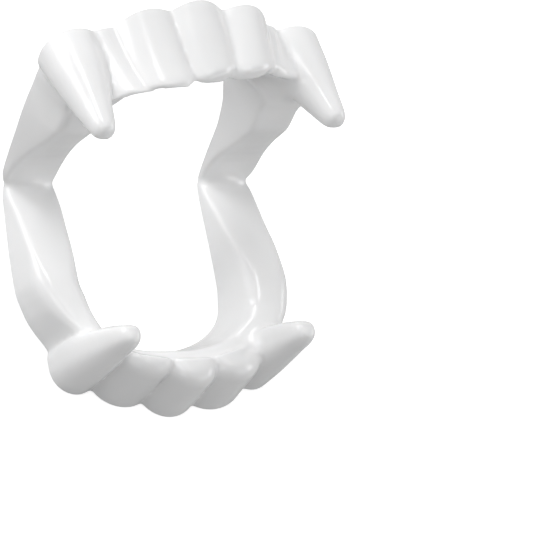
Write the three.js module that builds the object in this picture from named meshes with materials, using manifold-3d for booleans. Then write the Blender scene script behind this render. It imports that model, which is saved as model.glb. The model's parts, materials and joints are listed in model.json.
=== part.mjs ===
// Vampire fang denture: two hollow rows of teeth, joined at the cheeks by two folds.
// Lengths are in mm. X runs left to right, the front teeth face -Y and +Z is up.
// The lower row rests on its gum rim at z = 0 and the upper row is swung open above it.
// Each row is drawn in its own measures: x across, u forward from the fold, d up to the bite.
import * as THREE from 'three';
import Module from 'manifold-3d';

const wasm = await Module();
wasm.setup();

// Driving sizes. The tables hold shares of the first three, so these change the whole part.
const REACH = 44; // fold to the front of the upper gum rim
const HALF_WIDTH = 27.8; // middle line to the outside of a cheek arm
const BAND = 10; // height unit of a row: an arm at its plateau is a little under it
const WALL = 1.6; // thickness of the moulded walls
const OPEN_ANGLE = 118.8; // between the two gum rims as it lies
const FOLD_IN = 0.565 * HALF_WIDTH; // fold of a cheek, nearest the middle line
const FOLD_OUT = 0.935 * HALF_WIDTH; // fold of a cheek, outermost
const WEB = 0.11 * BAND; // thickness of the plastic at the fold
const GAP = 0.3; // clear space round each fold

// Cheek arms, fold to fang. u is a share of REACH, out and in of HALF_WIDTH, the rest of BAND.
// out, in: the two gum edges. draftOut, draftIn: how far each wall leans in by the top.
const UPPER_ARM = [
  { u: 0.021, out: 0.925, in: 0.568, d: 0.11, draftOut: 0.01, draftIn: 0.01 },
  { u: 0.068, out: 0.968, in: 0.556, d: 0.14, draftOut: 0.05, draftIn: 0.04 },
  { u: 0.18, out: 0.986, in: 0.547, d: 0.27, draftOut: 0.16, draftIn: 0.11 },
  { u: 0.304, out: 1, in: 0.54, d: 0.53, draftOut: 0.29, draftIn: 0.22 },
  { u: 0.36, out: 1.007, in: 0.527, d: 0.66, draftOut: 0.33, draftIn: 0.26 },
  { u: 0.428, out: 1.014, in: 0.507, d: 0.79, draftOut: 0.36, draftIn: 0.3 },
  { u: 0.48, out: 1.016, in: 0.48, d: 0.84, draftOut: 0.37, draftIn: 0.34 },
  { u: 0.547, out: 1.014, in: 0.443, d: 0.86, draftOut: 0.37, draftIn: 0.4 },
];
const LOWER_ARM = [
  { u: 0.021, out: 0.925, in: 0.564, d: 0.11, draftOut: 0.01, draftIn: 0.01 },
  { u: 0.068, out: 0.95, in: 0.556, d: 0.22, draftOut: 0.03, draftIn: 0.03 },
  { u: 0.122, out: 0.957, in: 0.554, d: 0.31, draftOut: 0.06, draftIn: 0.06 },
  { u: 0.24, out: 0.975, in: 0.558, d: 0.48, draftOut: 0.11, draftIn: 0.12 },
  { u: 0.354, out: 0.988, in: 0.56, d: 0.65, draftOut: 0.12, draftIn: 0.18 },
  { u: 0.48, out: 0.994, in: 0.556, d: 0.82, draftOut: 0.1, draftIn: 0.25 },
  { u: 0.547, out: 0.982, in: 0.54, d: 0.88, draftOut: 0.1, draftIn: 0.28 },
];

// Front of the horseshoe, left to right. x is a share of HALF_WIDTH, u of REACH, the rest of BAND.
// x, u: where the outer gum edge passes. bulge: how far the tooth that starts here swells forward.
// d: its height. notch: height of the biting edge at the groove. lean: how far the top leans back.
const UPPER_FRONT = [
  { x: -1.0072, u: 0.6136, bulge: 0, d: 0.92, notch: 0.92, lean: 0.24 },
  { x: -0.9568, u: 0.7045, bulge: 0, d: 1.08, notch: 1.08, lean: 0.28 },
  { x: -0.8777, u: 0.7727, bulge: 0, d: 1.22, notch: 1.22, lean: 0.34 },
  { x: -0.7374, u: 0.8182, bulge: 0.05, d: 1.36, notch: 1.29, lean: 0.42 },
  { x: -0.5701, u: 0.85, bulge: 0.24, d: 1.42, notch: 1.34, lean: 0.42 },
  { x: -0.1924, u: 0.9352, bulge: 0.265, d: 1.37, notch: 1.32, lean: 0.42 },
  { x: 0.1996, u: 0.9375, bulge: 0.31, d: 1.22, notch: 1.18, lean: 0.4 },
  { x: 0.5935, u: 0.8523, bulge: 0.03, d: 1.1, notch: 1.06, lean: 0.38 },
  { x: 0.6824, u: 0.8273, bulge: 0, d: 1.1, notch: 1.1, lean: 0.36 },
  { x: 0.8633, u: 0.7864, bulge: 0, d: 1.04, notch: 1.04, lean: 0.32 },
  { x: 0.9496, u: 0.7136, bulge: 0, d: 0.98, notch: 0.98, lean: 0.28 },
  { x: 1.0072, u: 0.6182, bulge: 0, d: 0.92, notch: 0.92, lean: 0.24 },
];
const LOWER_FRONT = [
  { x: -0.9065, u: 0.65, bulge: 0, d: 0.93, notch: 0.93, lean: 0.14 },
  { x: -0.8345, u: 0.7182, bulge: 0, d: 1.02, notch: 1.02, lean: 0.16 },
  { x: -0.777, u: 0.8273, bulge: 0, d: 1.16, notch: 1.16, lean: 0.18 },
  { x: -0.554, u: 0.9159, bulge: 0.2, d: 1.33, notch: 1.24, lean: 0.2 },
  { x: -0.1978, u: 0.975, bulge: 0.27, d: 1.32, notch: 1.22, lean: 0.2 },
  { x: 0.1835, u: 0.9909, bulge: 0.22, d: 1.31, notch: 1.22, lean: 0.2 },
  { x: 0.5755, u: 0.9341, bulge: 0, d: 1.2, notch: 1.2, lean: 0.2 },
  { x: 0.777, u: 0.8455, bulge: 0, d: 1.14, notch: 1.14, lean: 0.18 },
  { x: 0.8597, u: 0.7227, bulge: 0, d: 1.02, notch: 1.02, lean: 0.16 },
  { x: 0.9317, u: 0.65, bulge: 0, d: 0.93, notch: 0.93, lean: 0.14 },
];

// Inside line of each horseshoe at the gum: half an ellipse on the ends of the arms.
// drop: how far the shelf behind the teeth lies under them. blade: how thick the biting edge is.
// slope: how long the fall to the shelf is. corner: extra room at the front left.
const UPPER_INSIDE = {
  x: 0.4424, u: 0.5477, deep: 0.1932, lean: 0.26, drop: 0.48, blade: 0.2, slope: 0.34, corner: 0.05,
};
const LOWER_INSIDE = {
  x: 0.536, u: 0.5477, deep: 0.2114, lean: 0.4, drop: 0.18, blade: 0.3, slope: 0.4, corner: 0.08,
};

// Fangs, rim to tip. d is a share of the fang's length, x of HALF_WIDTH, u of REACH, the rest
// of BAND. x, u: middle. wide: half width. front, back: reach each way.
const UPPER_FANG = [
  { d: 0, x: 0.8309, u: 0.7227, wide: 0.59, front: 0.56, back: 0.38 },
  { d: 0.2771, x: 0.8381, u: 0.7091, wide: 0.53, front: 0.5, back: 0.33 },
  { d: 0.5081, x: 0.8525, u: 0.6955, wide: 0.44, front: 0.43, back: 0.28 },
  { d: 0.7159, x: 0.8633, u: 0.6886, wide: 0.33, front: 0.33, back: 0.24 },
  { d: 0.8591, x: 0.8705, u: 0.6886, wide: 0.26, front: 0.25, back: 0.22 },
  { d: 0.9423, x: 0.8741, u: 0.6886, wide: 0.21, front: 0.2, back: 0.19 },
  { d: 0.9838, x: 0.8741, u: 0.6886, wide: 0.14, front: 0.14, back: 0.14 },
  { d: 1, x: 0.8741, u: 0.6886, wide: 0.05, front: 0.05, back: 0.05 },
];
const LOWER_FANG = [
  { d: 0, x: 0.6727, u: 0.8205, wide: 0.5, front: 0.5, back: 0.46 },
  { d: 0.2893, x: 0.6727, u: 0.8227, wide: 0.46, front: 0.46, back: 0.42 },
  { d: 0.5372, x: 0.6691, u: 0.8318, wide: 0.39, front: 0.38, back: 0.36 },
  { d: 0.7438, x: 0.6691, u: 0.8409, wide: 0.31, front: 0.3, back: 0.3 },
  { d: 0.8843, x: 0.6691, u: 0.85, wide: 0.25, front: 0.24, back: 0.24 },
  { d: 0.9504, x: 0.6691, u: 0.8523, wide: 0.2, front: 0.19, back: 0.19 },
  { d: 0.9876, x: 0.6691, u: 0.8545, wide: 0.13, front: 0.13, back: 0.13 },
  { d: 1, x: 0.6691, u: 0.8545, wide: 0.04, front: 0.04, back: 0.04 },
];
// Length of each fang and how much further its tip leans out, as shares of BAND.
const UPPER_TIPS = {
  left: { length: 2.17, splay: 0 },
  right: { length: 2.0, splay: 0.09 },
};
const LOWER_TIPS = {
  left: { length: 2.38, splay: 0 },
  right: { length: 2.35, splay: 0 },
};

const STEPS = 8; // stations across one tooth
const ROUND = 26; // corners round a fang

// Reads a table between its rows; the columns run smoothly.
function between(rows, key, at, names) {
  let i = 0;
  while (i < rows.length - 2 && at > rows[i + 1][key]) {
    i += 1;
  }
  const a = rows[i];
  const b = rows[i + 1];
  const t = Math.min(Math.max((at - a[key]) / (b[key] - a[key]), 0), 1);
  const row = {};
  for (const name of names) {
    row[name] = a[name] + (b[name] - a[name]) * t;
  }
  return row;
}

// Skins rings of points and closes both ends into one solid.
function loft(rings) {
  const count = rings[0].length;
  const verts = rings.flat(2);
  const tris = [];
  for (let i = 0; i < rings.length - 1; i += 1) {
    for (let j = 0; j < count; j += 1) {
      const k = (j + 1) % count;
      const a = i * count + j;
      const b = i * count + k;
      tris.push(a, b, b + count, a, b + count, a + count);
    }
  }
  for (const end of [0, rings.length - 1]) {
    const ring = rings[end];
    const middle = [0, 1, 2].map((axis) => ring.reduce((sum, p) => sum + p[axis], 0) / count);
    const hub = verts.length / 3;
    verts.push(...middle);
    for (let j = 0; j < count; j += 1) {
      const a = end * count + j;
      const b = end * count + ((j + 1) % count);
      tris.push(...(end === 0 ? [hub, b, a] : [hub, a, b]));
    }
  }
  const mesh = new wasm.Mesh({
    numProp: 3,
    vertProperties: new Float32Array(verts),
    triVerts: new Uint32Array(tris),
  });
  const solid = new wasm.Manifold(mesh);
  return solid.volume() < 0 ? flip(verts, tris) : solid;
}

function flip(verts, tris) {
  const turned = [];
  for (let i = 0; i < tris.length; i += 3) {
    turned.push(tris[i], tris[i + 2], tris[i + 1]);
  }
  return new wasm.Manifold(new wasm.Mesh({
    numProp: 3,
    vertProperties: new Float32Array(verts),
    triVerts: new Uint32Array(turned),
  }));
}

// Smooth ease from 0 to 1.
function ease(t) {
  const held = Math.min(Math.max(t, 0), 1);
  return held * held * (3 - 2 * held);
}

// Stations round the horseshoe: outer and inner gum points, heights and leans, in mm.
function stations(arm, front, inside) {
  const list = [];
  const side = (sign) => arm.map((row) => ({
    out: [sign * row.out * HALF_WIDTH, row.u * REACH],
    in: [sign * row.in * HALF_WIDTH, row.u * REACH],
    crest: row.d * BAND,
    edge: row.d * BAND,
    drop: 0,
    blade: BAND,
    slope: BAND,
    draftOut: row.draftOut * BAND,
    draftIn: row.draftIn * BAND,
  }));
  const startU = inside.u * REACH;
  const lastDraft = arm[arm.length - 1].draftIn;
  const place = (x, u, crest, edge, lean, swell) => {
    const turn = Math.atan2((u - startU) / (REACH - startU), x / HALF_WIDTH);
    const share = Math.max(Math.sin(turn), 0) ** 2;
    const fuller = x < 0 ? inside.corner * BAND * Math.sin(2 * turn) ** 2 : 0;
    const inX = inside.x * HALF_WIDTH * Math.cos(turn) - 0.5 * fuller;
    const inU = startU + inside.deep * REACH * Math.sin(turn) + fuller;
    return {
      out: [x, u],
      in: [inX, inU],
      crest,
      edge,
      drop: inside.drop * BAND * ease(share * 1.5),
      blade: inside.blade * BAND + swell,
      slope: inside.slope * BAND,
      draftOut: lean,
      draftIn: (lastDraft * (1 - share) + inside.lean * share) * BAND,
    };
  };
  const crests = front.map((row, i) => (
    row.bulge > 0.1 ? { at: i + 0.5, d: row.d } : { at: i, d: row.notch }
  ));
  list.push(...side(-1));
  for (let i = 0; i < front.length - 1; i += 1) {
    const a = front[i];
    const b = front[i + 1];
    const ax = a.x * HALF_WIDTH;
    const au = a.u * REACH;
    const dx = b.x * HALF_WIDTH - ax;
    const du = b.u * REACH - au;
    const chord = Math.hypot(dx, du);
    const count = a.bulge > 0.1 ? STEPS : 2;
    for (let j = 0; j < count; j += 1) {
      const t = j / count;
      const swell = (1 - (2 * t - 1) ** 2) ** 0.72;
      const out = a.bulge * BAND * swell;
      const crest = between(crests, 'at', i + t, ['d']).d * BAND;
      const groove = (a.notch + (b.notch - a.notch) * t) * BAND;
      const edge = a.bulge > 0 ? groove + (crest - groove) * Math.min(swell * 1.3, 1) : crest;
      const lean = (a.lean + (b.lean - a.lean) * t) * BAND;
      const x = ax + dx * t - (du / chord) * out;
      const u = au + du * t + (dx / chord) * out;
      list.push(place(x, u, crest, edge, lean, out));
    }
  }
  const last = front[front.length - 1];
  const height = last.notch * BAND;
  list.push(place(last.x * HALF_WIDTH, last.u * REACH, height, height, last.lean * BAND, 0));
  list.push(...side(1).reverse());
  return list;
}

// One ring across the band. inset leaves a wall outside it, lift starts it lower down.
function across(station, inset, lift) {
  const [ox, ou] = station.out;
  const [ix, iu] = station.in;
  const width = Math.hypot(ix - ox, iu - ou);
  const shelf = station.crest - station.drop - inset;
  const outTop = inset > 0 ? shelf : station.edge;
  const round = Math.min(1.5, station.crest * 0.3) * (inset > 0 || station.drop > 1 ? 0.5 : 1);
  const a1 = width - inset;
  const outAt = (d) => inset + station.draftOut * Math.max(d, 0) / station.crest;
  const inAt = (d) => a1 - station.draftIn * Math.max(d, 0) / station.crest;
  const half = Math.SQRT1_2;
  const outEnd = outAt(outTop) + round;
  const inEnd = inAt(shelf) - round;
  const room = inEnd - outEnd;
  const bladeEnd = outEnd + Math.min(Math.max(station.blade - round, 0.2), room * 0.5);
  const slopeEnd = Math.min(bladeEnd + station.slope, inEnd - room * 0.1);
  const crest = inset > 0 ? shelf : Math.max(outTop, station.crest);
  const pts = [
    [outAt(0), lift],
    [outAt(outTop * 0.5), outTop * 0.5],
    [outAt(outTop - round), outTop - round],
    [outAt(outTop) + round * (1 - half), outTop - round * (1 - half)],
    [outEnd, outTop],
    [bladeEnd, station.drop > 0 && inset === 0 ? crest : outTop + (crest - outTop) * 0.5],
    [(bladeEnd + slopeEnd) / 2, (crest + shelf) / 2],
    [slopeEnd, shelf],
    [inEnd, shelf],
    [inAt(shelf) - round * (1 - half), shelf - round * (1 - half)],
    [inAt(shelf - round), shelf - round],
    [inAt(shelf * 0.5), shelf * 0.5],
    [inAt(0), lift],
  ];
  return pts.map(([a, d]) => {
    const t = a / width;
    return [ox + (ix - ox) * t, ou + (iu - ou) * t, d];
  });
}

// One fang column. inset thins it for the hollow, floor and roof are its ends.
function fang(rows, side, tip, inset, floor, roof) {
  const names = ['x', 'u', 'wide', 'front', 'back'];
  const length = tip.length * BAND;
  const levels = [floor];
  for (const row of rows) {
    if (row.d > 0 && row.d * length < roof) {
      levels.push(row.d * length);
    }
  }
  levels.push(roof);
  const rings = levels.map((level) => {
    const share = Math.max(level, 0) / length;
    const row = between(rows, 'd', share, names);
    const wide = row.wide * BAND - inset;
    const front = row.front * BAND - inset;
    const back = row.back * BAND - inset;
    const splay = tip.splay * BAND * ease(share);
    const ring = [];
    for (let j = 0; j < ROUND; j += 1) {
      const turn = (j / ROUND) * 2 * Math.PI;
      const c = Math.cos(turn);
      const s = Math.sin(turn);
      const square = s < 0 ? 0.6 : 1;
      const x = Math.sign(c) * Math.abs(c) ** square * wide;
      const u = s > 0 ? s * front : -(Math.abs(s) ** square) * back;
      ring.push([side * (row.x * HALF_WIDTH + splay) + x, row.u * REACH + 0.5 * splay + u, level]);
    }
    return ring;
  });
  return loft(rings);
}

// A whole row of teeth, hollow from the gum side.
function rowOfTeeth(arm, front, inside, fangRows, tips) {
  const list = stations(arm, front, inside);
  let body = loft(list.map((station) => across(station, 0, 0)));
  const deep = list.filter((station) => station.crest - station.drop > 2.8 * WALL);
  let hollow = loft(deep.map((station) => across(station, WALL, -1)));
  for (const [side, tip] of [[-1, tips.left], [1, tips.right]]) {
    body = body.add(fang(fangRows, side, tip, 0, 0, tip.length * BAND));
    hollow = hollow.add(fang(fangRows, side, tip, WALL, -1, tip.length * BAND * 0.6));
  }
  return body.subtract(hollow);
}

// The strip of plastic left at a fold, as a rounded bar along the fold line.
function foldBar(side) {
  const half = REACH * 0.021 - GAP;
  const ring = (x) => {
    const pts = [];
    for (let j = 0; j < 12; j += 1) {
      const turn = (j / 12) * 2 * Math.PI;
      pts.push([x, half * Math.cos(turn), WEB / 2 + (WEB / 2) * Math.sin(turn)]);
    }
    return pts;
  };
  const ends = [side * FOLD_IN, side * FOLD_OUT];
  return loft(ends.map(ring));
}

// Swings the upper row open about the middle of the fold.
function swingOpen(solid) {
  const swung = solid.translate([0, 0, -WEB / 2]).rotate([180 - OPEN_ANGLE, 0, 0]);
  return swung.translate([0, 0, WEB / 2]);
}

function toMesh(solid, name) {
  const data = solid.getMesh();
  const geometry = new THREE.BufferGeometry();
  const points = new Float32Array(data.numVert * 3);
  for (let i = 0; i < data.numVert; i += 1) {
    for (let axis = 0; axis < 3; axis += 1) {
      points[i * 3 + axis] = data.vertProperties[i * data.numProp + axis];
    }
  }
  geometry.setAttribute('position', new THREE.BufferAttribute(points, 3));
  geometry.setIndex(new THREE.BufferAttribute(new Uint32Array(data.triVerts), 1));
  const look = new THREE.MeshStandardMaterial({ color: 0xececec, roughness: 0.25, metalness: 0 });
  const mesh = new THREE.Mesh(geometry, look);
  mesh.name = name;
  return mesh;
}

const upper = rowOfTeeth(UPPER_ARM, UPPER_FRONT, UPPER_INSIDE, UPPER_FANG, UPPER_TIPS);
const lower = rowOfTeeth(LOWER_ARM, LOWER_FRONT, LOWER_INSIDE, LOWER_FANG, LOWER_TIPS);

const pieces = {
  lower_jaw: lower.mirror([0, 1, 0]),
  upper_jaw: swingOpen(upper),
  hinge_web_left: foldBar(-1),
  hinge_web_right: foldBar(1),
};

// The origin is under the middle of the whole piece, on what it rests on.
const boxes = Object.values(pieces).map((solid) => solid.boundingBox());
const front = Math.min(...boxes.map((box) => box.min[1]));
const back = Math.max(...boxes.map((box) => box.max[1]));
const group = new THREE.Group();
group.name = 'vampire_fang_denture';
for (const [name, solid] of Object.entries(pieces)) {
  group.add(toMesh(solid.translate([0, -(front + back) / 2, 0]), name));
}

export default group;
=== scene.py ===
# %% [markdown]
# # Vampire fang denture
# The real thing is one shot of soft white plastic: an upper and a lower row of teeth, hollow
# behind, joined at the cheeks by two thin folds. It is modelled here as one skin too, because
# any seam between the rows would show on such a glossy piece. The scene starts from the packed
# part, which fixes the place of the fold, and ends by hiding the part's own meshes under the skin.

# %% Load the part
import json
import math

import bmesh
import bpy
import numpy as np
from mathutils import Matrix, Vector
from mathutils.bvhtree import BVHTree


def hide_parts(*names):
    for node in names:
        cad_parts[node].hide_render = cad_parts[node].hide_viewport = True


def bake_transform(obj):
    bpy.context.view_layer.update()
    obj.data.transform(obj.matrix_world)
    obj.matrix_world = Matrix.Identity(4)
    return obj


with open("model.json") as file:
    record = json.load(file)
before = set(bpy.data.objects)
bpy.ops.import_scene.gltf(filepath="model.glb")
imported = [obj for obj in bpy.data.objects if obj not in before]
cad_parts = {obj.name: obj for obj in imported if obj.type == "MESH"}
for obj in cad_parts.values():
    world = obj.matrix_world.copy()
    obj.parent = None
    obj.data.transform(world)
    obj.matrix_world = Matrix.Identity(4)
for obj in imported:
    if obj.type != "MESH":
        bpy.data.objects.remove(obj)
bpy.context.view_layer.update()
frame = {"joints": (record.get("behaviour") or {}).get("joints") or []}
fold = Vector(frame["joints"][0]["pos_m"])
MM = 0.001

# %% [markdown]
# ## Driving sizes
# A mould maker draws each row flat on its parting face, in three measures: x across the mouth,
# u forward from the fold, d up from the gum rim to the biting edge. The tables below are in
# millimetres in those measures. Keeping both rows in the same measures lets one set of helpers
# make both, and only the last step swings the upper row open about the fold.

# %% Driving sizes
REACH = 44.0
HALF_WIDTH = 27.8
BAND = 10.0
WALL = 1.6
WEB = 1.1
OPEN_ANGLE = math.radians(118.8)
BELOW = 1.4  # how far the bands run on past the rims before they are cut flat

# u and d are shares of REACH and BAND; out and in are shares of HALF_WIDTH.
UPPER_ARM = [
    # u, out, in, d, draft outside, draft inside
    (0.0, 0.925, 0.568, 0.11, 0.1, 0.1),
    (0.068, 0.968, 0.556, 0.14, 0.5, 0.4),
    (0.18, 0.986, 0.547, 0.27, 1.6, 1.1),
    (0.304, 1.0, 0.54, 0.53, 2.9, 2.2),
    (0.36, 1.007, 0.527, 0.66, 3.3, 2.6),
    (0.408, 1.012, 0.513, 0.77, 3.5, 2.9),
    (0.43, 1.014, 0.505, 0.815, 3.6, 3.0),
    (0.448, 1.015, 0.498, 0.833, 3.7, 3.1),
    (0.48, 1.016, 0.48, 0.842, 3.7, 3.4),
    (0.547, 1.014, 0.443, 0.86, 3.7, 4.0),
]
LOWER_ARM = [
    (0.0, 0.925, 0.564, 0.11, 0.1, 0.1),
    (0.068, 0.95, 0.556, 0.22, 0.3, 0.3),
    (0.122, 0.957, 0.554, 0.31, 0.6, 0.6),
    (0.24, 0.975, 0.558, 0.48, 1.1, 1.2),
    (0.354, 0.988, 0.56, 0.65, 1.2, 1.8),
    (0.48, 0.994, 0.556, 0.82, 1.0, 2.5),
    (0.547, 0.976, 0.54, 0.88, 1.0, 2.8),
]
# x, u, bulge of the tooth that starts here, its height, height at the groove, lean of the
# front face, and how far the grooves slide sideways on their way to the biting edge
UPPER_FRONT = [
    (-28.3, 27.0, 0.0, 9.2, 9.2, 2.4, 0.0),
    (-27.1, 30.8, 0.0, 10.8, 10.8, 2.7, -1.8),
    (-24.4, 34.0, 0.0, 12.4, 12.4, 2.0, -3.6),
    (-20.5, 36.0, 0.5, 13.9, 13.4, 2.5, -4.4),
    (-15.85, 37.4, 2.4, 15.1, 13.7, 3.25, -2.8),
    (-5.35, 41.15, 2.65, 13.8, 13.2, 5.0, -0.85),
    (5.55, 41.25, 3.1, 12.9, 12.0, 3.9, 0.7),
    (16.5, 37.5, 0.4, 10.3, 10.3, 2.3, -0.3),
    (18.97, 36.4, 0.0, 10.4, 10.4, 2.5, 0.0),
    (24.0, 34.6, 0.0, 10.2, 10.2, 2.8, 0.0),
    (26.4, 31.4, 0.0, 9.8, 9.8, 2.7, 0.0),
    (28.0, 27.2, 0.0, 9.2, 9.2, 2.4, 0.0),
]
LOWER_FRONT = [
    (-26.4, 26.6, 0.0, 9.1, 9.1, 1.2, 0.0),
    (-25.3, 28.9, 0.0, 9.4, 9.4, 1.4, 0.0),
    (-23.4, 32.0, 0.0, 10.2, 10.2, 1.6, 0.0),
    (-21.6, 36.4, 0.0, 11.6, 11.6, 1.8, 0.0),
    (-15.4, 40.3, 2.0, 13.3, 12.4, 2.0, 0.0),
    (-5.5, 42.9, 2.7, 13.2, 12.2, 2.0, 0.0),
    (5.1, 43.6, 2.2, 13.1, 12.2, 2.0, 0.0),
    (16.0, 41.1, 0.0, 12.0, 12.0, 2.0, 0.0),
    (21.6, 37.2, 0.0, 11.4, 11.4, 1.8, 0.0),
    (23.9, 31.8, 0.0, 10.2, 10.2, 1.6, 0.0),
    (25.9, 28.6, 0.0, 9.3, 9.3, 1.4, 0.0),
]
# Inside line: half an ellipse; drop: how much lower the shelf behind the teeth lies;
# blade: how far in from the front it starts; slope: how long it takes; corner: extra room
# at the front left, where the mould is cut a little fuller.
UPPER_INSIDE = dict(x=12.3, u=24.1, deep=8.5, lean=2.6, drop=4.8, blade=1.8, slope=2.2, corner=2.4)
LOWER_INSIDE = dict(x=14.9, u=24.1, deep=9.3, lean=4.0, drop=1.8, blade=3.0, slope=4.0, corner=2.2)
# d, x, u, half width, reach forward, reach back
UPPER_FANG = [
    (0.0, 23.2, 31.8, 6.2, 5.6, 4.4),
    (6.0, 23.4, 31.2, 5.5, 5.0, 3.5),
    (11.0, 23.7, 30.6, 4.4, 4.3, 2.8),
    (15.5, 24.0, 30.3, 3.3, 3.3, 2.4),
    (18.6, 24.2, 30.3, 2.6, 2.5, 2.2),
    (20.4, 24.3, 30.3, 2.1, 2.0, 1.9),
    (21.3, 24.3, 30.3, 1.4, 1.4, 1.4),
    (21.65, 24.3, 30.3, 0.5, 0.5, 0.5),
]
LOWER_FANG = [
    (0.0, 18.7, 36.1, 5.0, 5.0, 4.6),
    (7.0, 18.7, 36.2, 4.6, 4.6, 4.2),
    (13.0, 18.6, 36.6, 3.9, 3.8, 3.6),
    (18.0, 18.6, 37.0, 3.1, 3.0, 3.0),
    (21.4, 18.6, 37.4, 2.5, 2.4, 2.4),
    (23.0, 18.6, 37.5, 2.0, 1.9, 1.9),
    (23.9, 18.6, 37.6, 1.3, 1.3, 1.3),
    (24.2, 18.6, 37.6, 0.4, 0.4, 0.4),
]
# Length of each fang, left and right, and how much further out its tip leans than the table says
UPPER_FANG_LENGTH = {-1: 21.7, 1: 20.0}
LOWER_FANG_LENGTH = {-1: 23.8, 1: 23.5}
UPPER_FANG_SPLAY = {-1: 0.0, 1: 0.9}
LOWER_FANG_SPLAY = {-1: 0.0, 1: 0.0}
print("rows reach", REACH, "mm and are", 2 * HALF_WIDTH, "mm wide across the cheeks")

# %% [markdown]
# ## A smooth way through a table
# The source joins its table rows with straight lines, which is enough for a solid. On a glossy
# skin every kink would show as a broken highlight, so here a curve runs through the rows. Each
# slope is held back where the values turn, so the curve never overshoots a row.


# %% Smooth tables
def through(rows, column, at):
    xs = [row[0] for row in rows]
    ys = [row[column] for row in rows]
    count = len(xs)
    steps = [(ys[i + 1] - ys[i]) / (xs[i + 1] - xs[i]) for i in range(count - 1)]
    slopes = [steps[0]]
    for before, after in zip(steps, steps[1:]):
        slopes.append(0.0 if before * after <= 0 else 2 * before * after / (before + after))
    slopes.append(steps[-1])
    i = min(max(sum(1 for x in xs if x <= at) - 1, 0), count - 2)
    gap = xs[i + 1] - xs[i]
    t = min(max((at - xs[i]) / gap, 0.0), 1.0)
    low = (1 + 2 * t) * (1 - t) ** 2 * ys[i] + t * (1 - t) ** 2 * gap * slopes[i]
    high = t * t * (3 - 2 * t) * ys[i + 1] + t * t * (t - 1) * gap * slopes[i + 1]
    return low + high


def smooth_step(t):
    t = min(max(t, 0.0), 1.0)
    return t * t * (3 - 2 * t)


print("upper arm is", round(through(UPPER_ARM, 3, 0.25) * BAND, 2), "mm deep a quarter along")

# %% [markdown]
# ## Stations round the horseshoe
# A row of teeth is a band with a changing section. At each station the band needs its two gum
# edges, its height, and how far each wall leans in, which is the draft that lets it leave the
# mould. The cheek arms are spaced evenly, and each front tooth gets an arc of its own that meets
# its neighbour in a groove.


# %% Stations
ARM_STEPS = 26
TOOTH_STEPS = 16


def arm_side(arm, sign):
    side = []
    soft_end = 0.9 if arm is UPPER_ARM else 3.0
    for i in range(ARM_STEPS):
        share = arm[-1][0] * i / ARM_STEPS
        out, inner, deep, out_lean, in_lean = (through(arm, c, share) for c in (1, 2, 3, 4, 5))
        side.append(
            dict(
                out=(sign * out * HALF_WIDTH, share * REACH),
                inner=(sign * inner * HALF_WIDTH, share * REACH),
                top=deep * BAND, notch=0.0, drop=0.0, blade=2.0, slope=3.0,
                out_lean=out_lean, in_lean=in_lean, pillow=0.0, crown=0.25 * smooth_step(share * 4),
                soft=0.7 + (soft_end - 0.7) * smooth_step((share - 0.3) / 0.25), slide=0.0,
            )
        )
    return side


def crest_line(front):
    nodes = []
    for i, row in enumerate(front):
        nodes.append((i + 0.5, row[3]) if row[2] > 0 else (float(i), row[4]))
    return nodes


def front_station(x, u, crest, edge, lean, slide, plump, out, arm, inside):
    turn = math.atan2((u - inside["u"]) / (REACH - inside["u"]), x / HALF_WIDTH)
    share = max(math.sin(turn), 0.0) ** 2
    fuller = inside["corner"] * math.sin(2 * turn) ** 2 if x < 0 else 0.0
    return dict(
        out=(x, u),
        inner=(
            inside["x"] * math.cos(turn) - 0.5 * fuller,
            inside["u"] + inside["deep"] * math.sin(turn) + fuller,
        ),
        top=crest, notch=max(crest - edge, 0.0),
        drop=inside["drop"] * smooth_step(share * 1.5),
        blade=inside["blade"] + out,
        slope=inside["slope"],
        out_lean=lean, in_lean=arm[-1][5] * (1 - share) + inside["lean"] * share,
        pillow=plump, crown=0.25 * (1 - share), slide=slide,
        soft=0.8 if inside is UPPER_INSIDE else 3.0 - 1.4 * smooth_step(share * 3),
    )


def stations(arm, front, inside, pillow, round_power, fade):
    end, out, _, deep, out_lean, _ = arm[-1]
    corner = (out * HALF_WIDTH, end * REACH, 0.0, deep * BAND, deep * BAND, out_lean, 0.0)
    front = [(-corner[0],) + corner[1:]] + front + [corner]
    row = arm_side(arm, -1)
    crests = crest_line(front)
    places = [(float(i), line[0], line[1]) for i, line in enumerate(front)]
    for i, (a, b) in enumerate(zip(front, front[1:])):
        chord = math.hypot(b[0] - a[0], b[1] - a[1])
        count = TOOTH_STEPS if a[2] > 0 else 6
        for j in range(count):
            t = j / count
            swell = (1 - (2 * t - 1) ** 2) ** round_power
            x = a[0] + (b[0] - a[0]) * t - (b[1] - a[1]) / chord * a[2] * swell
            u = a[1] + (b[1] - a[1]) * t + (b[0] - a[0]) / chord * a[2] * swell
            if a[2] == 0:
                x, u = through(places, 1, i + t), through(places, 2, i + t)
            crest = through(crests, 1, i + t)
            groove = a[4] + (b[4] - a[4]) * t
            edge = groove + (crest - groove) * min(swell * 1.3, 1.0) if a[2] > 0 else crest
            lean = a[5] + (b[5] - a[5]) * t + fade * a[2] * swell
            slide = a[6] + (b[6] - a[6]) * t
            plump = pillow * swell if a[2] > 1 else 0.0
            thick = (1 - fade) * a[2] * swell
            row.append(front_station(x, u, crest, edge, lean, slide, plump, thick, arm, inside))
    return row + arm_side(arm, 1)[::-1]


lower_stations = stations(LOWER_ARM, LOWER_FRONT, LOWER_INSIDE, 0.7, 0.8, 0.0)
upper_stations = stations(UPPER_ARM, UPPER_FRONT, UPPER_INSIDE, 0.0, 1.0, 0.6)
print(len(lower_stations), "stations round the lower row,", len(upper_stations), "round the upper")

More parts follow.
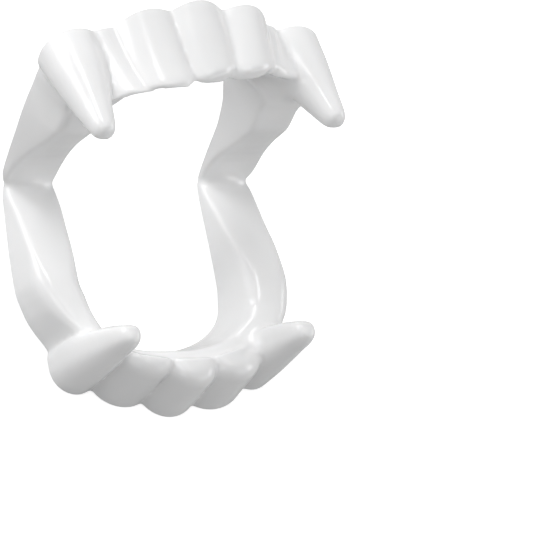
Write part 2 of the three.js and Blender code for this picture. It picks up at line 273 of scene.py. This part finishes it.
# %% [markdown]
# ## The section of the band
# Cut through, the band is a leaning wall outside, a rounded biting edge, a slightly crowned top,
# and a leaning wall inside. The corners are soft because a mould is polished: under 1 mm on the
# upper row, up to 3 mm on the lower one, which is why a long soft streak runs down its arms. The
# biting edge dips in the groove between two teeth, and the dip fades towards the tongue, so that
# each tooth of the lower row ends in a small pillow.


# %% Section of the band
def rounded(corner, before, after, size, count):
    a = Vector(corner) + (Vector(before) - Vector(corner)).normalized() * size
    b = Vector(corner) + (Vector(after) - Vector(corner)).normalized() * size
    points = []
    for i in range(count + 1):
        t = i / count
        points.append(a * (1 - t) ** 2 + Vector(corner) * 2 * t * (1 - t) + b * t * t)
    return points


def straight(a, b, count):
    return [a + (b - a) * (i / count) for i in range(1, count)]


def section(station, inset, floor):
    ox, ou = station["out"]
    ix, iu = station["inner"]
    width = math.hypot(ix - ox, iu - ou)
    drop = 0.0 if inset else station["drop"]
    top = station["top"] - inset - (station["drop"] if inset else 0.0)
    in_top = top - drop
    full = station["top"]
    out_lean = station["out_lean"]
    in_lean = station["in_lean"]
    foot_out = Vector((inset + out_lean * floor / full, floor))
    foot_in = Vector((width - inset - in_lean * floor / full, floor))
    head_out = Vector((inset + out_lean * top / full, top))
    head_in = Vector((width - inset - in_lean * in_top / full, in_top))
    soft = min(station["soft"] * 1.3, full * 0.45) * (0.5 if inset else 1.0)
    soft = min(soft, (head_in - head_out).length * 0.4)
    level_in = Vector((head_in.x - 1.0, head_in.y))
    level_out = Vector((head_out.x + 1.0, head_out.y))
    out_corner = rounded(head_out, foot_out, level_out, soft, 6)
    in_corner = rounded(head_in, level_in, foot_in, soft, 6)
    across = head_in.x - head_out.x
    path = [foot_out] + straight(foot_out, out_corner[0], 8) + out_corner
    start, end = out_corner[-1], in_corner[0]
    for i in range(1, 14):
        p = start + (end - start) * (i / 14)
        past = p.x - head_out.x - station["blade"]
        fall = smooth_step(past / min(station["slope"], across * 0.8))
        p.y = start.y - drop * fall
        path.append(p)
    path += in_corner
    path += straight(in_corner[-1], foot_in, 8) + [foot_in] + straight(foot_in, foot_out, 8)
    points = []
    for p in path:
        a, d = p
        high = smooth_step((d - full * 0.25) / (full * 0.75)) if full > 3 else 0.0
        along = (a - head_out.x) / max(across, 0.01)
        d -= station["notch"] * high * math.exp(-((max(along, 0.0) * across / 3.4) ** 2))
        if not inset:
            d += station["pillow"] * high * math.exp(-(((along * across - 2.7) / 2.3) ** 2))
            if 0 < along < 1:
                d += station["crown"] * high * 4 * along * (1 - along)
        t = a / width
        slid = station["slide"] * max(d, 0.0) / full * (1 - smooth_step(t * 1.1)) / width
        x = ox + (ix - ox) * t + (ou - iu) * slid
        u = ou + (iu - ou) * t + (ix - ox) * slid
        points.append(Vector((x, u, d)))
    return points


print(len(section(lower_stations[40], 0.0, -BELOW)), "points round one section")

# %% [markdown]
# ## Rolling a sheet into a skin
# A grid has its vertices in neat rows, so a sheet of the right count can be laid on the sections
# one row at a time, joined along its long edge, and closed at both ends. Bridging separate rings
# would give the same skin, but the rings can slip against each other where the section changes.


# %% Roll a sheet on rings
def rolled(rings, into):
    count = len(rings[0])
    sheet = bmesh.new()
    bmesh.ops.create_grid(sheet, x_segments=count, y_segments=len(rings) - 1, size=1.0)
    sheet.verts.ensure_lookup_table()
    for i, ring in enumerate(rings):
        for j in range(count + 1):
            sheet.verts[i * (count + 1) + j].co = ring[j % count]
    bmesh.ops.remove_doubles(sheet, verts=sheet.verts, dist=1e-5)
    open_edges = [edge for edge in sheet.edges if edge.is_boundary]
    caps = bmesh.ops.holes_fill(sheet, edges=open_edges, sides=0)["faces"]
    bmesh.ops.triangulate(sheet, faces=caps)
    bmesh.ops.recalc_face_normals(sheet, faces=sheet.faces)
    if sheet.calc_volume(signed=True) < 0:
        bmesh.ops.reverse_faces(sheet, faces=sheet.faces)
    piece = bpy.data.meshes.new("rolled")
    sheet.to_mesh(piece)
    sheet.free()
    into.from_mesh(piece)
    bpy.data.meshes.remove(piece)


trial = bmesh.new()
rolled([section(s, 0.0, -BELOW) for s in lower_stations], trial)
trial_volume = round(trial.calc_volume() / 1000, 2)
print("lower band", len(trial.verts), "points,", trial_volume, "cm3 before hollowing")
trial.free()

# %% [markdown]
# ## Fangs
# Each fang is a tapering column with a round front, a flatter back and a blunt tip, so that it
# can't hurt. It starts below the rim, so that it grows out of the band without a seam. The right
# upper fang is a little shorter than the left, as the mould has it.


# %% Fangs
FANG_ROUND = 40
FANG_STEPS = 34


def fang_rings(rows, side, length, splay, inset, floor, roof):
    stretch = length / rows[-1][0]
    rings = []
    for i in range(FANG_STEPS + 1):
        t = i / FANG_STEPS
        level = floor + (roof - floor) * math.sin(t * math.pi / 2)
        at = max(level, 0.0) / stretch
        x, u, wide, ahead, behind = (through(rows, c, at) for c in (1, 2, 3, 4, 5))
        tip = splay * smooth_step(level / length)
        ring = []
        for j in range(FANG_ROUND):
            turn = 2 * math.pi * j / FANG_ROUND
            c, s = math.cos(turn), math.sin(turn)
            square = 0.6 if s < 0 else 1.0
            px = math.copysign(abs(c) ** square, c) * (wide - inset)
            pu = s * (ahead - inset) if s > 0 else -(abs(s) ** square) * (behind - inset)
            ring.append(Vector((side * (x + tip) + px, u + pu + 0.5 * tip, level)))
        rings.append(ring)
    return rings


print("fang tips stand", UPPER_FANG_LENGTH, "and", LOWER_FANG_LENGTH, "mm above the rims")

# %% [markdown]
# ## Both rows in place
# The lower row lies on its rim, with its teeth towards -Y. The upper row is the same kind of
# piece, swung back about the middle of the fold. Both are turned with matrices here, so that
# every mesh already holds its place and its object can stay at the origin.

# %% Place the rows
LIE = Matrix.Translation((0, fold.y / MM, 0)) @ Matrix.Scale(-1, 4, Vector((0, 1, 0)))
SWING = (
    Matrix.Translation((0, fold.y / MM, WEB / 2))
    @ Matrix.Rotation(math.pi - OPEN_ANGLE, 4, "X")
    @ Matrix.Translation((0, 0, -WEB / 2))
)
ROWS = {
    "lower": (LIE, lower_stations, LOWER_FANG, LOWER_FANG_LENGTH, LOWER_FANG_SPLAY),
    "upper": (SWING, upper_stations, UPPER_FANG, UPPER_FANG_LENGTH, UPPER_FANG_SPLAY),
}


def row_skin(into, matrix, row, fangs, lengths, splays):
    skin = bmesh.new()
    rolled([section(s, 0.0, -BELOW) for s in row], skin)
    for side in (-1, 1):
        length, splay = lengths[side], splays[side]
        rolled(fang_rings(fangs, side, length, splay, 0.0, -BELOW, length), skin)
    bmesh.ops.transform(skin, matrix=matrix, verts=skin.verts)
    bmesh.ops.recalc_face_normals(skin, faces=skin.faces)
    mesh = bpy.data.meshes.new("row")
    skin.to_mesh(mesh)
    skin.free()
    into.from_mesh(mesh)
    bpy.data.meshes.remove(mesh)


def hollow_skin(into, matrix, row, fangs, lengths, splays):
    core = bmesh.new()
    deep = [s for s in row if s["top"] - s["drop"] > 3 * WALL]
    rolled([section(s, WALL, -2 * BELOW) for s in deep], core)
    for side in (-1, 1):
        length = lengths[side]
        rolled(fang_rings(fangs, side, length, splays[side], WALL, -2 * BELOW, length * 0.6), core)
    bmesh.ops.transform(core, matrix=matrix, verts=core.verts)
    bmesh.ops.recalc_face_normals(core, faces=core.faces)
    mesh = bpy.data.meshes.new("core")
    core.to_mesh(mesh)
    core.free()
    into.from_mesh(mesh)
    bpy.data.meshes.remove(mesh)


skin, core = bmesh.new(), bmesh.new()
for matrix, row, fangs, lengths, splays in ROWS.values():
    row_skin(skin, matrix, row, fangs, lengths, splays)
    hollow_skin(core, matrix, row, fangs, lengths, splays)
print("skin of", len(skin.faces), "faces, core of", len(core.faces), "faces")

# %% [markdown]
# ## Melting the rows into one moulding
# So far the bands and fangs only pass through each other. A voxel remesh makes one closed skin of
# them and rounds the inside corners a little, as the radius of a cutter does in a real mould. A
# boolean union would leave knife-sharp joints there. A few rounds of smoothing take out the
# remesh's grain. The core gets the same treatment with bigger voxels, as nobody polishes it.


# %% Melt into one skin
def melted(source, name, voxel, rounds):
    mesh = bpy.data.meshes.new(name)
    source.to_mesh(mesh)
    source.free()
    piece = bpy.data.objects.new(name, mesh)
    bpy.context.collection.objects.link(piece)
    remesh = piece.modifiers.new("melt", "REMESH")
    remesh.mode = "VOXEL"
    remesh.voxel_size = voxel
    remesh.adaptivity = 0.0
    made = bpy.data.meshes.new_from_object(
        piece.evaluated_get(bpy.context.evaluated_depsgraph_get())
    )
    piece.modifiers.clear()
    piece.data = made
    work = bmesh.new()
    work.from_mesh(made)
    for _ in range(rounds):
        bmesh.ops.smooth_vert(
            work, verts=work.verts, factor=0.5, use_axis_x=True, use_axis_y=True, use_axis_z=True
        )
    work.to_mesh(made)
    work.free()
    return piece


SKIN_VOXEL, CORE_VOXEL = 0.38, 0.6
denture = melted(skin, "denture", SKIN_VOXEL, 4)
cutter = melted(core, "core", CORE_VOXEL, 3)
print("denture", len(denture.data.polygons), "faces, core", len(cutter.data.polygons), "faces")

# %% [markdown]
# ## Filling the inside corners
# Where a fang grows out of the band the real moulding has a soft fillet, because the cutter that
# sank the mould was round. A bevel can't find these corners in a remeshed skin, so each point
# that sits in a hollow is drawn towards its neighbours, and points on edges are left alone. The
# front faces of the teeth are kept out, as their grooves are crisp; the two folds get many more
# rounds, because the plastic there is bent and has no sharp valley.


# %% Fill the corners
def fill_corners(mesh, rounds, share_of):
    """Moves only the points that sit in a hollow, so inside corners fill and edges stay."""
    count = len(mesh.vertices)
    co = np.empty(count * 3)
    mesh.vertices.foreach_get("co", co)
    co = co.reshape(-1, 3)
    ends = np.empty(len(mesh.edges) * 2, dtype=np.int64)
    mesh.edges.foreach_get("vertices", ends)
    a, b = ends.reshape(-1, 2).T
    near = np.bincount(a, minlength=count) + np.bincount(b, minlength=count)
    normals = np.empty(count * 3)
    mesh.vertices.foreach_get("normal", normals)
    normals = normals.reshape(-1, 3)
    share = share_of(co, normals)
    for _ in range(rounds):
        total = np.stack(
            [
                np.bincount(a, co[b, i], count) + np.bincount(b, co[a, i], count)
                for i in range(3)
            ],
            axis=1,
        )
        pull = total / near[:, None] - co
        lift = (pull * normals).sum(1)
        co += pull * (np.where(lift > 0, 0.6, 0.0) * share)[:, None]
    mesh.vertices.foreach_set("co", co.ravel())
    mesh.update()


def corner_share(co, normals):
    """0 on the front faces of the teeth, where grooves stay crisp, and 1 elsewhere."""
    flatten = SWING.inverted()
    turn = np.array(flatten.to_3x3()).T
    flat = co @ turn + np.array(flatten.translation)
    is_lower = co[:, 1] < fold.y / MM
    u = np.where(is_lower, fold.y / MM - co[:, 1], flat[:, 1])
    d = np.where(is_lower, co[:, 2], flat[:, 2])
    ahead = np.where(is_lower, -normals[:, 1], (normals @ turn)[:, 1])
    reach = np.hypot(co[:, 0], u - 24.0)
    outward = (co[:, 0] * normals[:, 0] + (u - 24.0) * ahead) / np.maximum(reach, 1.0)
    teeth = np.clip((outward - 0.1) / 0.2, 0, 1) * np.clip((u - 28.0) / 2.0, 0, 1)
    return (1 - teeth) * np.clip((d - 1.0) / 2.0, 0, 1) + (u < 8)


def fold_share(co, normals):
    """1 at the two folds, 0 from 6 mm off."""
    off = np.hypot(co[:, 1] - fold.y / MM, co[:, 2] - fold.z / MM)
    return np.clip((6.0 - off) / 3.0, 0, 1)


CORNER_ROUNDS, FOLD_ROUNDS = 60, 420
fill_corners(denture.data, CORNER_ROUNDS, corner_share)
fill_corners(denture.data, FOLD_ROUNDS, fold_share)
print("corners filled on", len(denture.data.vertices), "points")

# %% [markdown]
# ## Gum rims and hollow
# The parting faces of the mould leave both gum rims flat and crisp. Two plane cuts make them.
# The core then comes out of the skin, which leaves open troughs and walls of about 1.6 mm. They
# are thinner at the grooves between the teeth, down to 0.8 mm.


# %% Cut the rims and take out the core
def cut_flat(bm, point, normal):
    geometry = list(bm.verts) + list(bm.edges) + list(bm.faces)
    bmesh.ops.bisect_plane(
        bm, geom=geometry, dist=1e-6, plane_co=point, plane_no=normal, clear_outer=True
    )
    rim = [edge for edge in bm.edges if edge.is_boundary]
    return bmesh.ops.holes_fill(bm, edges=rim, sides=0)["faces"]


work = bmesh.new()
work.from_mesh(denture.data)
upper_rim = SWING @ Vector((0, 0, 0))
upper_out = (SWING.to_3x3() @ Vector((0, 0, -1))).normalized()
filled = len(cut_flat(work, Vector((0, 0, 0)), Vector((0, 0, -1))))
filled += len(cut_flat(work, upper_rim, upper_out))
work.to_mesh(denture.data)
work.free()
hollow = denture.modifiers.new("hollow", "BOOLEAN")
hollow.operation = "DIFFERENCE"
hollow.solver = "MANIFOLD"
hollow.object = cutter
made = bpy.data.meshes.new_from_object(
    denture.evaluated_get(bpy.context.evaluated_depsgraph_get())
)
denture.modifiers.clear()
made.materials.clear()
denture.data = made
core_surface = BVHTree.FromObject(cutter, bpy.context.evaluated_depsgraph_get())
bpy.data.objects.remove(cutter)
print(filled, "rim faces closed;", len(made.polygons), "faces after the core is out")

# %% [markdown]
# ## Finishing the mesh
# The mesh is scaled to metres and shaded smooth. Only the rims, where two faces meet squarely,
# keep a hard edge. The hollow side was shaped by a plain core that nobody polished, so the faces
# that lie on the core's surface are marked for a duller finish.

# %% Finish the mesh
CORED_GAP = 0.02  # mm between a face's middle and the core's surface
SHARP_EDGE = math.radians(38)
work = bmesh.new()
work.from_mesh(denture.data)
for face in work.faces:
    face.smooth = True
    gap = core_surface.find_nearest(face.calc_center_median())[3]
    face.material_index = 1 if gap < CORED_GAP else 0
bmesh.ops.scale(work, vec=(MM, MM, MM), verts=work.verts)
for edge in work.edges:
    edge.smooth = len(edge.link_faces) != 2 or edge.calc_face_angle(0.0) < SHARP_EDGE
open_edges = sum(1 for edge in work.edges if len(edge.link_faces) != 2)
print("open edges", open_edges, "volume cm3", round(work.calc_volume() * 1e6, 2))
work.to_mesh(denture.data)
work.free()
denture.name = "denture"
denture.data.name = "denture"
print("triangles", sum(len(p.vertices) - 2 for p in denture.data.polygons))

# %% [markdown]
# ## White moulded plastic
# The plastic is a bright neutral white, glossy as it left a polished mould. Close up it is never
# perfect: the tone drifts a little where the melt flowed, the gloss is patchy at the scale of a
# few millimetres, and the surface has a faint orange peel. The skin group below makes those three
# masks from object coordinates, and both finishes use it with their own values.


# %% Moulded skin group
def moulded_skin_group():
    group = bpy.data.node_groups.new("moulded_skin", "ShaderNodeTree")
    sockets = group.interface
    for name, value in (("Flow Scale", 60.0), ("Peel Scale", 900.0), ("Fleck Scale", 2200.0)):
        socket = sockets.new_socket(name, in_out="INPUT", socket_type="NodeSocketFloat")
        socket.default_value = value
    for name in ("Flow", "Gloss", "Height"):
        sockets.new_socket(name, in_out="OUTPUT", socket_type="NodeSocketFloat")
    nodes, links = group.nodes, group.links
    take, give = nodes.new("NodeGroupInput"), nodes.new("NodeGroupOutput")
    place = nodes.new("ShaderNodeTexCoord")
    noises = {}
    for name, scale, detail in (("flow", 0, 3.0), ("peel", 1, 2.0), ("fleck", 2, 1.0)):
        noise = nodes.new("ShaderNodeTexNoise")
        noise.inputs["Detail"].default_value = detail
        noise.inputs["Roughness"].default_value = 0.5
        links.new(place.outputs["Object"], noise.inputs["Vector"])
        links.new(take.outputs[scale], noise.inputs["Scale"])
        noises[name] = noise.outputs["Fac"]
    mix = nodes.new("ShaderNodeMath")
    mix.operation = "MULTIPLY_ADD"
    mix.inputs[1].default_value = 0.2
    links.new(noises["fleck"], mix.inputs[0])
    links.new(noises["peel"], mix.inputs[2])
    links.new(noises["flow"], give.inputs["Flow"])
    links.new(noises["peel"], give.inputs["Gloss"])
    links.new(mix.outputs[0], give.inputs["Height"])
    return group


moulded_skin = moulded_skin_group()
masks = [s.name for s in moulded_skin.interface.items_tree if s.in_out == "OUTPUT"]
print("skin group gives", masks)

# %% [markdown]
# ## Two finishes of one plastic
# Both are the same white, a little soft to the light as polyethylene is. The outside copies a
# polished mould and is glossy; the hollow copies a plain core and is duller with a coarser peel.
# Two materials that share the skin group keep that difference in a few plain values.


# %% Polished and cored finishes
def white_plastic(name, tones, gloss, peel, scales):
    material = bpy.data.materials.new(name)
    material.use_nodes = True
    nodes, links = material.node_tree.nodes, material.node_tree.links
    shader = nodes["Principled BSDF"]
    shader.inputs["IOR"].default_value = 1.51
    shader.inputs["Subsurface Weight"].default_value = 0.12
    shader.inputs["Subsurface Radius"].default_value = (0.0016, 0.0015, 0.0014)
    shader.inputs["Subsurface Scale"].default_value = 1.0
    skin_node = nodes.new("ShaderNodeGroup")
    skin_node.node_tree = moulded_skin
    for socket, value in zip(skin_node.inputs, scales):
        socket.default_value = value
    tone = nodes.new("ShaderNodeValToRGB")
    tone.color_ramp.elements[0].position, tone.color_ramp.elements[1].position = 0.3, 0.7
    tone.color_ramp.elements[0].color, tone.color_ramp.elements[1].color = tones
    links.new(skin_node.outputs["Flow"], tone.inputs["Fac"])
    links.new(tone.outputs["Color"], shader.inputs["Base Color"])
    shine = nodes.new("ShaderNodeMapRange")
    shine.inputs["From Min"].default_value, shine.inputs["From Max"].default_value = 0.3, 0.7
    shine.inputs["To Min"].default_value, shine.inputs["To Max"].default_value = gloss
    links.new(skin_node.outputs["Gloss"], shine.inputs["Value"])
    links.new(shine.outputs["Result"], shader.inputs["Roughness"])
    bump = nodes.new("ShaderNodeBump")
    bump.inputs["Strength"].default_value = 1.0
    bump.inputs["Distance"].default_value = peel
    links.new(skin_node.outputs["Height"], bump.inputs["Height"])
    links.new(bump.outputs["Normal"], shader.inputs["Normal"])
    return material


polished = white_plastic(
    "polished_white_plastic", ((0.85, 0.852, 0.855, 1), (0.88, 0.88, 0.882, 1)),
    (0.16, 0.23), 0.00002, (60.0, 420.0, 2400.0),
)
cored = white_plastic(
    "cored_white_plastic", ((0.82, 0.822, 0.825, 1), (0.87, 0.87, 0.872, 1)),
    (0.36, 0.5), 0.00006, (90.0, 900.0, 3000.0),
)
denture.data.materials.append(polished)
denture.data.materials.append(cored)
cored_faces = sum(1 for face in denture.data.polygons if face.material_index == 1)
print("finishes", [m.name for m in denture.data.materials], cored_faces, "faces cored")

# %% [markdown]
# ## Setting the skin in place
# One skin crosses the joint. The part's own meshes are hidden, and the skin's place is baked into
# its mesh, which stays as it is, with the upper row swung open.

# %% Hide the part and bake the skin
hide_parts("lower_jaw", "upper_jaw", "hinge_web_left", "hinge_web_right")
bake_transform(denture)

# %% [markdown]
# ## Camera
# The photograph was taken from far off with a long lens, so lines that run side by side stay side
# by side. The camera's place and turn come from matching points of the part to the picture.

# %% Camera
PICTURE_WIDTH = 533
FOCAL_LENGTH = 12000  # in pixels
SENSOR = 36.0
right = Vector((0.85912, -0.18915, 0.47553))
up = Vector((0.01927, 0.94049, 0.33929))
back = right.cross(up).normalized()
right = up.cross(back).normalized()
turn = Matrix((right, up.normalized(), back)).transposed().to_4x4()
camera_data = bpy.data.cameras.new("camera")
camera_data.sensor_fit = "HORIZONTAL"
camera_data.sensor_width = SENSOR
camera_data.lens = FOCAL_LENGTH * SENSOR / PICTURE_WIDTH
camera_data.clip_start = 0.1
camera_data.clip_end = 20.0
camera = bpy.data.objects.new("camera", camera_data)
camera.matrix_world = Matrix.Translation((-1.11623, -0.63641, 1.81435)) @ turn
bpy.context.collection.objects.link(camera)
bpy.context.scene.camera = camera
print("camera looks down by", round(math.degrees(math.asin(back.z)), 1), "degrees")

# %% [markdown]
# ## Floor
# The picture shows a plain white sweep with no shadow to speak of. A pale disc does for it. It
# glows only for the camera, so it stays white but throws no light of its own into the hollows.


# %% Floor
def floor_material():
    material = bpy.data.materials.new("white_sweep")
    material.use_nodes = True
    nodes, links = material.node_tree.nodes, material.node_tree.links
    shader = nodes["Principled BSDF"]
    shader.inputs["Base Color"].default_value = (0.6, 0.6, 0.6, 1)
    shader.inputs["Roughness"].default_value = 0.9
    shader.inputs["Specular IOR Level"].default_value = 0.1
    shader.inputs["Emission Color"].default_value = (1, 1, 1, 1)
    rays, glow = nodes.new("ShaderNodeLightPath"), nodes.new("ShaderNodeMath")
    glow.operation = "MULTIPLY"
    glow.inputs[1].default_value = 0.68
    links.new(rays.outputs["Is Camera Ray"], glow.inputs[0])
    links.new(glow.outputs[0], shader.inputs["Emission Strength"])
    return material


FLOOR_RADIUS = 3.0
sheet = bmesh.new()
bmesh.ops.create_circle(sheet, cap_ends=True, segments=96, radius=FLOOR_RADIUS)
bmesh.ops.translate(sheet, vec=(0, 0, -0.0001), verts=sheet.verts)
floor_mesh = bpy.data.meshes.new("floor")
sheet.to_mesh(floor_mesh)
sheet.free()
floor = bpy.data.objects.new("floor", floor_mesh)
floor.data.materials.append(floor_material())
bpy.context.collection.objects.link(floor)
print("floor radius", FLOOR_RADIUS, "m")

# %% [markdown]
# ## Light
# One small bright box stands high behind the teeth and draws the crisp streaks along the arms and
# fangs. Two walls of light, left and right, and a strip behind make the sides bright, and weak
# boxes in front leave the fronts of the lower teeth in soft shade. Area lights are used because a
# sharp lamp would give points in place of streaks.


# %% Lights
# name, compass way from the back of the picture and height in degrees, size in m, watts
BOXES = [
    ("key", -22, 46, (0.2, 0.34), 2.3),
    ("left wall", -45, 16, (0.9, 0.6), 7.3),
    ("back strip", 2, 8, (0.8, 0.3), 3.7),
    ("right wall", 92, 20, (0.9, 0.5), 4.3),
    ("front left", -135, 28, (0.6, 0.5), 1.3),
    ("front right", 135, 26, (0.6, 0.5), 2.3),
    ("upper left", -90, 48, (0.6, 0.6), 2.4),
    ("top", 0, 86, (0.8, 0.8), 3.6),
]


def soft_box(name, compass, height, size, power, distance=1.2):
    data = bpy.data.lights.new(name, "AREA")
    data.shape = "RECTANGLE"
    data.size, data.size_y = size
    data.energy = power
    box = bpy.data.objects.new(name, data)
    turn, rise = math.radians(compass), math.radians(height)
    way = Vector((math.sin(turn) * math.cos(rise), math.cos(turn) * math.cos(rise), math.sin(rise)))
    box.location = way * distance
    box.rotation_euler = (-way).to_track_quat("-Z", "Y").to_euler()
    bpy.context.collection.objects.link(box)
    return box


def pale_room(strength):
    world = bpy.data.worlds.new("studio")
    world.use_nodes = True
    nodes, links = world.node_tree.nodes, world.node_tree.links
    rays, shade = nodes.new("ShaderNodeLightPath"), nodes.new("ShaderNodeMapRange")
    shade.inputs["To Min"].default_value = strength
    shade.inputs["To Max"].default_value = 1.0
    links.new(rays.outputs["Is Camera Ray"], shade.inputs["Value"])
    links.new(shade.outputs["Result"], nodes["Background"].inputs["Strength"])
    nodes["Background"].inputs["Color"].default_value = (1, 1, 1, 1)
    return world


for line in BOXES:
    soft_box(*line)
bpy.context.scene.world = pale_room(0.12)
bpy.context.scene.view_settings.view_transform = "Standard"
print(len(BOXES), "soft boxes and a pale room")
